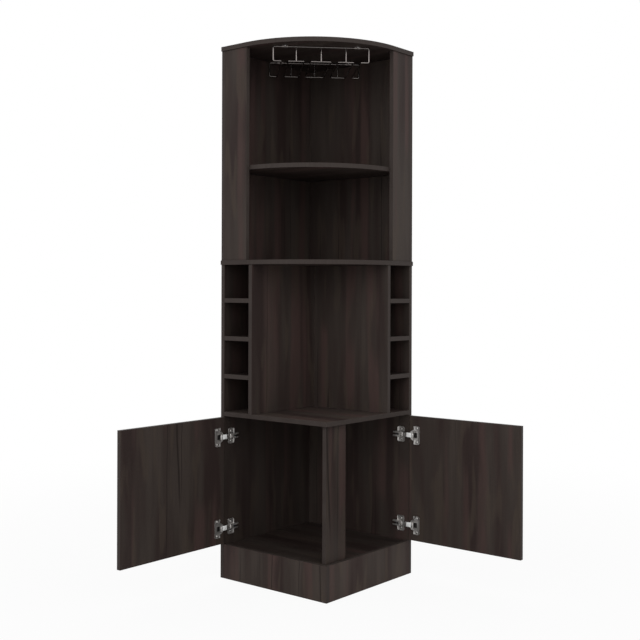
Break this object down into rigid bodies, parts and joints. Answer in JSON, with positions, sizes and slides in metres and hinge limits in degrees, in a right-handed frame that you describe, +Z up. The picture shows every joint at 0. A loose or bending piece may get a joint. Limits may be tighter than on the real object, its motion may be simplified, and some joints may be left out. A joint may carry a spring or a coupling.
{
  "type": "corner bar cabinet",
  "caption": "Tall corner bar cabinet in dark board: a cupboard with two hinged doors, bottle cubbies beside a bar niche, rounded display shelves and a wire stemware rack.",
  "frame": {"origin": "back corner of the cabinet on the floor, where the two room walls meet", "axes": "+Z up; the left wall runs along -Y from the origin, the right wall along +X; the front corner lies on the line x = -y"},
  "size_m": [0.8968, 0.9148, 1.8],
  "materials": {
    "dark_board": "satin dark laminate with upright wood grain",
    "nickel_hinge": "satin nickel plate",
    "bright_link": "bright nickel plate",
    "zinc_screw": "zinc plate",
    "rack_wire": "chrome plate",
    "beech_dowel": "bare beech"
  },
  "bodies": {
    "cabinet": {"bottom_panel": "dark_board", "corner_post": "dark_board", "counter_panel": "dark_board", "curved_shelf": "dark_board", "left_arm_screws": "zinc_screw", "left_cubby_shelf_1": "dark_board", "left_cubby_shelf_2": "dark_board", "left_cubby_shelf_3": "dark_board", "left_divider": "dark_board", "left_facing": "dark_board", "left_lower_hinge_arm": "nickel_hinge", "left_lower_hinge_plate": "nickel_hinge", "left_plate_screws": "zinc_screw", "left_upper_hinge_arm": "nickel_hinge", "left_upper_hinge_plate": "nickel_hinge", "lower_left_wall": "dark_board", "lower_right_wall": "dark_board", "mid_shelf": "dark_board", "panel_dowels": "beech_dowel", "plinth_corner_block": "dark_board", "plinth_left_board": "dark_board", "plinth_right_board": "dark_board", "rack_bars": "rack_wire", "rack_clips": "rack_wire", "rack_drops": "rack_wire", "rack_loops": "rack_wire", "rack_rails": "rack_wire", "rack_screws": "zinc_screw", "right_arm_screws": "zinc_screw", "right_cubby_shelf_1": "dark_board", "right_cubby_shelf_2": "dark_board", "right_cubby_shelf_3": "dark_board", "right_divider": "dark_board", "right_facing": "dark_board", "right_lower_hinge_arm": "nickel_hinge", "right_lower_hinge_plate": "nickel_hinge", "right_plate_screws": "zinc_screw", "right_upper_hinge_arm": "nickel_hinge", "right_upper_hinge_plate": "nickel_hinge", "stacking_dowels": "beech_dowel", "top_panel": "dark_board", "top_screws": "zinc_screw", "upper_left_wall": "dark_board", "upper_right_wall": "dark_board", "wall_screws": "zinc_screw"},
    "left_door": {"left_cup_screws": "zinc_screw", "left_door": "dark_board", "left_hinge_pins": "nickel_hinge", "left_lower_hinge_cup": "nickel_hinge", "left_upper_hinge_cup": "nickel_hinge"},
    "left_lower_link": {"left_lower_hinge_link": "bright_link"},
    "left_upper_link": {"left_upper_hinge_link": "bright_link"},
    "right_door": {"right_cup_screws": "zinc_screw", "right_door": "dark_board", "right_hinge_pins": "nickel_hinge", "right_lower_hinge_cup": "nickel_hinge", "right_upper_hinge_cup": "nickel_hinge"},
    "right_lower_link": {"right_lower_hinge_link": "bright_link"},
    "right_upper_link": {"right_upper_hinge_link": "bright_link"}
  },
  "joints": [
    {"name": "left_door_hinge", "type": "hinge", "parent": "cabinet", "child": "left_door", "pos_m": [0.0086, -0.4594, 0.332], "axis": [0, 0, 1], "range_deg": [-5, 90]},
    {"name": "left_upper_link_pivot", "type": "hinge", "parent": "left_door", "child": "left_upper_link", "pos_m": [0.024, -0.4848, 0.48], "axis": [0, 0, 1], "range_deg": [-90, 5]},
    {"name": "left_lower_link_pivot", "type": "hinge", "parent": "left_door", "child": "left_lower_link", "pos_m": [0.024, -0.4848, 0.172], "axis": [0, 0, 1], "range_deg": [-90, 5]},
    {"name": "right_door_hinge", "type": "hinge", "parent": "cabinet", "child": "right_door", "pos_m": [0.4594, -0.0086, 0.332], "axis": [0, 0, -1], "range_deg": [-5, 90]},
    {"name": "right_upper_link_pivot", "type": "hinge", "parent": "right_door", "child": "right_upper_link", "pos_m": [0.4848, -0.024, 0.48], "axis": [0, 0, -1], "range_deg": [-90, 5]},
    {"name": "right_lower_link_pivot", "type": "hinge", "parent": "right_door", "child": "right_lower_link", "pos_m": [0.4848, -0.024, 0.172], "axis": [0, 0, -1], "range_deg": [-90, 5]}
  ],
  "couplings": [
    {"joint": "left_upper_link_pivot", "follows": "left_door_hinge", "ratio": -1},
    {"joint": "left_lower_link_pivot", "follows": "left_door_hinge", "ratio": -1},
    {"joint": "right_upper_link_pivot", "follows": "right_door_hinge", "ratio": -1},
    {"joint": "right_lower_link_pivot", "follows": "right_door_hinge", "ratio": -1}
  ]
}
